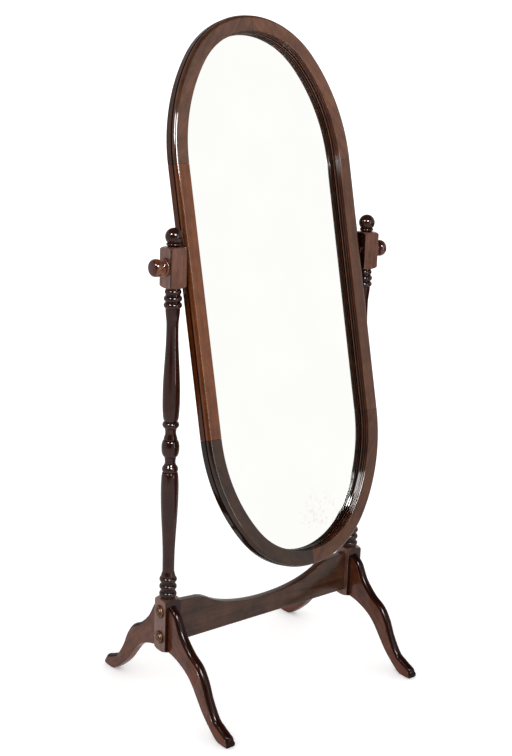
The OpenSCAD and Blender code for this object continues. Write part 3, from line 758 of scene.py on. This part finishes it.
# %% Sweep helpers
def section_ring(bm, edge_x, y):
    """The section as a closed loop of edges, its outer edge at x = edge_x."""
    stain = bm.verts.layers.float.get("stain") or bm.verts.layers.float.new("stain")
    ring = []
    for x, z in SECTION:
        ring.append(bm.verts.new(((edge_x + x) * MM, y * MM, (FACE + z) * MM)))
        # the beads by the glass and the rounded outer edge are routed, so they take more stain; the line at the
        # foot of the beads is painted near black as shade, and the flat outer side is darkened as painted shade
        beads = 1.0 if -15.7 < z < -14.9 else 0.32 if z < -15.7 else 0.45
        outer = 0.2 if z > -8 else 0.48
        ring[-1][stain] = beads if x < 1 - BAND and z < -1 else outer if x > -8 else 0
    return [bm.edges.new(pair) for pair in zip(ring, ring[1:] + ring[:1])]


def sweep(bm, edges, centre, angle, steps):
    """Spins a loop of edges in the frame's plane and gives the last loop."""
    centre = (centre[0] * MM, centre[1] * MM, 0)
    out = bmesh.ops.spin(bm, geom=edges, cent=centre, axis=(0, 0, 1), angle=angle, steps=steps, use_merge=False)
    return [g for g in out["geom_last"] if isinstance(g, bmesh.types.BMEdge)]


def box(x0, x1, y0, y1, z0, z1):
    bm = bmesh.new()
    bmesh.ops.create_cube(bm, size=1)
    centre = Vector((x0 + x1, y0 + y1, z0 + z1)) * MM / 2
    bm.transform(
        Matrix.Translation(centre) @ Matrix.Diagonal(((x1 - x0) * MM, (y1 - y0) * MM, (z1 - z0) * MM, 1))
    )
    return bm


def straight(y0, y1):
    """A straight run of the section."""
    bm = bmesh.new()
    loop = section_ring(bm, FRAME_HALF, y0)
    bmesh.ops.contextual_create(bm, geom=loop)
    grown = bmesh.ops.extrude_edge_only(bm, edges=loop)["geom"]
    bmesh.ops.translate(bm, verts=moved_verts(grown), vec=(0, (y1 - y0) * MM, 0))
    bmesh.ops.contextual_create(bm, geom=[g for g in grown if isinstance(g, bmesh.types.BMEdge)])
    return bm


def curved():
    """One quarter of the frame: a long gentle arc and a tighter one that meet without a kink."""
    bm = bmesh.new()
    loop = section_ring(bm, FRAME_HALF, STILE_HALF)
    start = GAP / SIDE_R
    hub = (SIDE_AT[0] * MM, SIDE_AT[1] * MM, 0)
    bmesh.ops.rotate(bm, verts=bm.verts, cent=hub, matrix=Matrix.Rotation(start, 3, "Z"))
    bmesh.ops.contextual_create(bm, geom=loop)
    last = sweep(bm, loop, SIDE_AT, BLEND - start, 36)
    last = sweep(bm, last, END_AT, math.pi / 2 - BLEND - GAP / END_R, 40)
    bmesh.ops.contextual_create(bm, geom=last)
    return bm


# %% Stiles with their slots, arcs with their tongues
# the slot stops 6 mm short of both edges, so that only a fine line shows outside
SLOT_X0, SLOT_X1 = FRAME_HALF - WALL + 6, FRAME_HALF - 6
SLOT_Z0, SLOT_Z1, SLOT_IN = FACE - 13, FACE - 3, 30
PLAY = 0.1
stile = straight(GAP - STILE_HALF, STILE_HALF - GAP)
for sign in (-1, 1):
    near, far = sorted((sign * (STILE_HALF - SLOT_IN), sign * (STILE_HALF + 1)))
    stile = boolean(stile, box(SLOT_X0, SLOT_X1, near, far, SLOT_Z0, SLOT_Z1), "DIFFERENCE")
stile_mesh = bpy.data.meshes.new("stile")
stile.to_mesh(stile_mesh)
stile.free()
quarter = curved()
tongue = boolean(
    straight(STILE_HALF - SLOT_IN + 3 * PLAY, STILE_HALF + 0.4),
    box(SLOT_X0, SLOT_X1, STILE_HALF - 40, STILE_HALF + 10, SLOT_Z0 + PLAY, SLOT_Z1 - PLAY),
    "INTERSECT",
)
add(quarter, tongue)
quarter_mesh = bpy.data.meshes.new("quarter")
quarter.to_mesh(quarter_mesh)
quarter.free()

FLIP_X, FLIP_Y = Matrix.Diagonal((-1, 1, 1, 1)), Matrix.Diagonal((1, -1, 1, 1))
for side, flip in (("right", Matrix()), ("left", FLIP_X)):
    bm = bmesh.new()
    bm.from_mesh(stile_mesh)
    bm.transform(PLACE @ flip)
    piece("moulded_stile_" + side, bm, "mirror", "red_wood", stile_wood[side], "stile_" + side)
    for end, over in (("top", Matrix()), ("bottom", FLIP_Y)):
        bm = bmesh.new()
        bm.from_mesh(quarter_mesh)
        bm.transform(PLACE @ flip @ over)
        wood = arc_wood[end + "_" + side]
        piece(f"moulded_arc_{end}_{side}", bm, "mirror", "dark_wood", wood, f"arc_{end}_{side}")

# %% [markdown]
# ## Glass
# The silver is on the back of the glass, so the reflection starts a few millimetres behind the lip.
# That is the fine dark line round every old mirror, and it comes by itself when the shiny face sits deeper.


# %% Oval plate
def oval(inset, top, thick):
    """A plate with the outline of the frame, moved in by inset."""
    bm = bmesh.new()
    last = bm.verts.new(((FRAME_HALF - inset) * MM, SIDE_AT[1] * MM, top * MM))
    for centre, angle, steps in (
        (SIDE_AT, BLEND, 30),
        (END_AT, math.pi - 2 * BLEND, 64),
        ((-SIDE_AT[0], SIDE_AT[1]), BLEND, 30),
    ):
        hub = (centre[0] * MM, centre[1] * MM, 0)
        out = bmesh.ops.spin(bm, geom=[last], cent=hub, axis=(0, 0, 1), angle=angle, steps=steps)
        last = moved_verts(out["geom_last"])[0]
    copies = moved_verts(bmesh.ops.duplicate(bm, geom=list(bm.verts) + list(bm.edges))["geom"])
    bmesh.ops.rotate(bm, verts=copies, cent=(0, 0, 0), matrix=Matrix.Rotation(math.pi, 3, "Z"))
    bmesh.ops.remove_doubles(bm, verts=bm.verts, dist=1e-6)
    ends = [v for v in bm.verts if len(v.link_edges) == 1]
    for side in (-1, 1):
        bm.edges.new([v for v in ends if v.co.x * side > 0])
    face = bmesh.ops.contextual_create(bm, geom=list(bm.edges))["faces"][0]
    grown = bmesh.ops.extrude_face_region(bm, geom=[face])["geom"]
    bmesh.ops.translate(bm, verts=moved_verts(grown), vec=(0, 0, -thick * MM))
    return bm


# %% Silvered glass with a little foxing
silver, tree, shader = blank("silvered_glass")
where = node(tree, "ShaderNodeTexCoord", (-1300, 0))
# damp has crept in near the bottom, 55 mm to the right of the middle, in a patch about 100 mm wide
from_spot = node(
    tree,
    "ShaderNodeVectorMath",
    (-1100, -200),
    {0: (where, "Object"), 1: (0.055, -0.131, 0.44)},
    operation="DISTANCE",
)
near = node(
    tree,
    "ShaderNodeValToRGB",
    (-900, -200),
    {"Fac": (from_spot, "Value")},
    [(0.01, grey(1)), (0.07, grey(0))],
)
# specks 3 to 10 mm wide
specks = node(
    tree,
    "ShaderNodeTexNoise",
    (-900, 100),
    {"Vector": (where, "Object"), "Scale": 95.0, "Detail": 5.0, "Roughness": 0.65},
)
speck_mask = node(
    tree,
    "ShaderNodeValToRGB",
    (-700, 100),
    {"Fac": (specks, "Fac")},
    [(0.52, grey(0)), (0.66, grey(1))],
)
foxed = node(
    tree,
    "ShaderNodeMath",
    (-500, 0),
    {0: (near, "Color"), 1: (speck_mask, "Color")},
    operation="MULTIPLY",
)
# the silver itself is very slightly uneven in tone
mottle = node(tree, "ShaderNodeTexNoise", (-900, 400), {"Vector": (where, "Object"), "Scale": 6.0, "Detail": 2.0})
clean = node(
    tree,
    "ShaderNodeValToRGB",
    (-500, 300),
    {"Fac": (mottle, "Fac")},
    [(0.35, linear("#fcfcf9")), (0.65, linear("#fefefb"))],
)
tone = node(
    tree,
    "ShaderNodeMix",
    (-250, 200),
    {0: (foxed, "Value"), 6: (clean, "Color"), 7: linear("#eee4e0")},
    data_type="RGBA",
)
tree.links.new(tone.outputs[2], shader.inputs["Base Color"])
shader.inputs["Metallic"].default_value = 1.0
shader.inputs["Roughness"].default_value = 0.0
# the shiny face sits 2.2 mm behind the front of the 4 mm glass
SILVER_IN, SILVER_T = 2.2, 1.7
bm = oval(WALL + 1, FACE - GLASS_DEPTH - SILVER_IN, SILVER_T)
bm.transform(PLACE)
piece("silvered_plate", bm, "mirror", "mirror", silver, "mirror_glass")

# %% [markdown]
# ## Knobs and covers
# The knobs are turned from the same wood: a base disc, a waist and a mushroom head. The bolt covers are
# stamped metal discs with a raised centre.

# %% Knobs
OUTSIDE = POST_X + HALF_POST
WASHER_T, CLEAR = 1.5, 0.15
knob_line = follow(
    [(0, 0), (19.2, 0), (19.8, 0.3), (20, 0.9)],
    swell_in(2.6, 4.6, 20, 17.6, 6),
    [(17.0, 4.6)],
    swell_out(4.65, 11, 17.0, 11.5, 12),
    [(11.5, 12.3)],
    swell_out(12.4, 21, 12.7, 19.5, 12),
    swell_in(23, 33.2, 19.5, 11, 16),
    [(7.5, 33.8), (0, 34)],
)
for side, sign, slot in (("left", -1, "red_wood"), ("right", 1, "dark_wood")):
    bm = lathe(knob_line, 64)
    stain = bm.verts.layers.float["stain"]
    for vert in bm.verts:
        # the side holds a little stain, and the end is darker, with a thinner film of lacquer
        vert[stain] = 0.3 if vert.co.z < 0.03 else 0.62
    bm.transform(
        Matrix.Translation((sign * (OUTSIDE + WASHER_T + 2 * CLEAR) * MM, 0, PIVOT_Z * MM))
        @ Matrix.Rotation(sign * math.pi / 2, 4, "Y")
    )
    piece("turned_knob_" + side, bm, side + "_knob", slot, knob_wood[side], "knob_" + side)

# %% [markdown]
# ## Metal parts
# The covers, washers and clips are brass that has gone dark except where hands and cloths rub it.
# Screws, bolts and studs are plated steel. Each metal is two tones of the same colour with a patchy sheen.


# %% Worn metal
def worn_metal(name, bright, dull, smooth, rough):
    """A metal between two tones; smooth and rough bound its roughness."""
    material, tree, shader = blank(name)
    where = node(tree, "ShaderNodeTexCoord", (-900, 0))
    # patches 2 to 5 mm wide
    wear = node(
        tree,
        "ShaderNodeTexNoise",
        (-700, 0),
        {"Vector": (where, "Object"), "Scale": 260.0, "Detail": 4.0, "Roughness": 0.6},
    )
    tone = node(
        tree,
        "ShaderNodeValToRGB",
        (-400, 100),
        {"Fac": (wear, "Fac")},
        [(0.4, linear(dull)), (0.6, linear(bright))],
    )
    sheen = node(
        tree,
        "ShaderNodeValToRGB",
        (-400, -150),
        {"Fac": (wear, "Fac")},
        [(0.4, grey(rough)), (0.6, grey(smooth))],
    )
    tree.links.new(tone.outputs["Color"], shader.inputs["Base Color"])
    tree.links.new(sheen.outputs["Color"], shader.inputs["Roughness"])
    shader.inputs["Metallic"].default_value = 1.0
    return material


bronze = worn_metal("darkened_brass", "#6e5140", "#3e2c22", 0.28, 0.45)
brass = worn_metal("aged_brass", "#b8935c", "#8a6a40", 0.25, 0.45)
steel = worn_metal("plated_steel", "#c4c3bf", "#96948f", 0.2, 0.4)
print("metals:", bronze.name, brass.name, steel.name)

# %% Bolt covers
cover_line = follow(
    [(0, -3), (7.9, -3), (7.95, 0), (14.8, 0), (15, 0.4), (15, 4.0), (14.7, 4.6), (14, 5)],
    [(11.3, 5)],
    swell_in(5.01, 9, 10.6, 2, 10),
    [(0, 9)],
)
BOLT_Z = (170.5, 233)
bm = bmesh.new()
for sign in (-1, 1):
    for z in BOLT_Z:
        add(
            bm,
            lathe(cover_line, 48),
            Matrix.Translation((sign * OUTSIDE * MM, 0, z * MM)) @ Matrix.Rotation(sign * math.pi / 2, 4, "Y"),
        )
piece("stamped_covers", bm, "stand", "bronze", bronze, "bolt_covers")

# %% Spacers and washers on the pivots
BORE_R = 4.2
ring_line = [(BORE_R, 0), (11.4, 0), (11.8, 0.2), (12, 0.7), (12, 3.9), (11.8, 4.4), (11.4, 4.6)]
ring_line += [(BORE_R, 4.6), (BORE_R, 0)]
washer_line = [(BORE_R, 0), (11.8, 0), (12, 0.3), (12, 1.1), (11.6, WASHER_T), (BORE_R, WASHER_T), (BORE_R, 0)]
for side, sign in (("left", -1), ("right", 1)):
    facing = Matrix.Rotation(sign * math.pi / 2, 4, "Y")
    bm = lathe(ring_line, 64)
    bm.transform(Matrix.Translation((sign * FRAME_HALF * MM, 0, PIVOT_Z * MM)) @ facing)
    piece("spacer_ring_" + side, bm, "mirror", "dark_wood", knob_wood["right"], "spacer_" + side)
    bm = lathe(washer_line, 64)
    bm.transform(Matrix.Translation((sign * (OUTSIDE + CLEAR) * MM, 0, PIVOT_Z * MM)) @ facing)
    piece("flat_washer_" + side, bm, side + "_washer", "brass", brass, "washer_" + side)

# %% [markdown]
# ## The back
# A thin plywood oval closes the back, held by eight turn clips, each under one slotted screw.
# Plywood shows wide, pale growth figure because its veneers are peeled round the log.

# %% Plywood
plywood, tree, shader = blank("birch_plywood")
where = node(tree, "ShaderNodeTexCoord", (-1100, 0))
laid = node(
    tree,
    "ShaderNodeMapping",
    (-900, 0),
    {"Vector": (where, "Object"), "Rotation": LEANING, "Scale": (1, 1, 0.12)},
)
# peeled figure 15 to 50 mm wide
figure = node(
    tree,
    "ShaderNodeTexNoise",
    (-700, 0),
    {"Vector": (laid, "Vector"), "Scale": 38.0, "Detail": 6.0, "Roughness": 0.6, "Distortion": 1.2},
)
tone = node(
    tree,
    "ShaderNodeValToRGB",
    (-400, 0),
    {"Fac": (figure, "Fac")},
    [(0.35, linear("#6b4d30")), (0.6, linear("#80603e")), (0.7, linear("#745535"))],
)
tree.links.new(tone.outputs["Color"], shader.inputs["Base Color"])
shader.inputs["Roughness"].default_value = 0.65
BACK_Z, BACK_T = -11.5, 4.5
bm = oval(WALL + 1, BACK_Z, BACK_T)
bm.transform(PLACE)
piece("plywood_back", bm, "mirror", "panel_wood", plywood, "back_panel")

# %% Clips and screws
CLIP_R, CLIP_LONG, CLIP_T = 5, 14, 1.5
CLIP_IN = 24  # from the outer edge of the frame to a clip's screw
CLIP_UP, CLIP_TURN = 190, math.radians(60)
screw_line = follow(
    [(0, -13.5), (0.4, -13.4), (1.6, -11), (1.6, 0)],
    [(3.3, 0.01), (3.4, 0.3)],
    swell_in(0.31, 1.6, 3.4, 0.2, 8),
    [(0, 1.6)],
)


def clip():
    """A flat tongue with round ends, its screw in one of them, on the back face of the frame."""
    bm = bmesh.new()
    bmesh.ops.create_circle(bm, cap_ends=True, segments=40, radius=CLIP_R * MM)
    for vert in bm.verts:
        vert.co.x -= CLIP_LONG * MM if vert.co.x < -1e-6 else 0
    grown = moved_verts(bmesh.ops.extrude_face_region(bm, geom=list(bm.faces))["geom"])
    bmesh.ops.translate(bm, verts=grown, vec=(0, 0, -CLIP_T * MM))
    bottom = [e for e in bm.edges if all(v in grown for v in e.verts)]
    bmesh.ops.bevel(
        bm, geom=bottom, offset=0.4 * MM, affect="EDGES", segments=2, profile=0.5, material=-1
    )
    return bm


clips, screws = bmesh.new(), bmesh.new()
out = Vector((math.cos(CLIP_TURN), math.sin(CLIP_TURN))) * (END_R - CLIP_IN)
under = Matrix.Translation((0, 0, -CLIP_T * MM)) @ Matrix.Rotation(math.pi, 4, "X")
for flip in (Matrix(), FLIP_X):
    for over in (Matrix(), FLIP_Y):
        for x, y, turn in ((FRAME_HALF - CLIP_IN, CLIP_UP, 0), (out.x, END_AT[1] + out.y, CLIP_TURN)):
            at = Matrix.Translation((x * MM, y * MM, (FACE - FRAME_T) * MM))
            spot = PLACE @ flip @ over @ at @ Matrix.Rotation(turn, 4, "Z")
            add(clips, clip(), spot)
            screw = boolean(lathe(screw_line, 32), box(-4, 4, -0.45, 0.45, 0.7, 2), "DIFFERENCE")
            add(screws, screw, spot @ under)
piece("turn_clips", clips, "mirror", "brass", brass, "back_clips")
piece("slotted_screws", screws, "mirror", "steel", steel, "clip_screws")

# %% [markdown]
# ## Hidden fittings
# Dowels, bolts, cross nuts, inserts and studs stay as the CAD drew them, because they sit inside the wood.
# They only need the finish of the real part.

# %% Finishes for the fittings
beech, tree, shader = blank("plain_beech")
where = node(tree, "ShaderNodeTexCoord", (-1100, 0))
laid = node(tree, "ShaderNodeMapping", (-900, 0), {"Vector": (where, "Object"), "Scale": (1, 0.1, 1)})
# flecks 1 to 2 mm wide along the dowel
flecks = node(tree, "ShaderNodeTexNoise", (-700, 0), {"Vector": (laid, "Vector"), "Scale": 600.0, "Detail": 3.0})
tone = node(
    tree,
    "ShaderNodeValToRGB",
    (-400, 0),
    {"Fac": (flecks, "Fac")},
    [(0.4, linear("#b98d60")), (0.6, linear("#cfa678"))],
)
tree.links.new(tone.outputs["Color"], shader.inputs["Base Color"])
shader.inputs["Roughness"].default_value = 0.6
for name, finish in (
    ("leg_dowels", beech),
    ("rail_bolts", steel),
    ("cross_nuts", steel),
    ("inserts", brass),
    ("stud_left", steel),
    ("stud_right", steel),
):
    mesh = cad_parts[name].data
    mesh.materials.clear()
    mesh.materials.append(finish)
    print(name, "is now", finish.name)
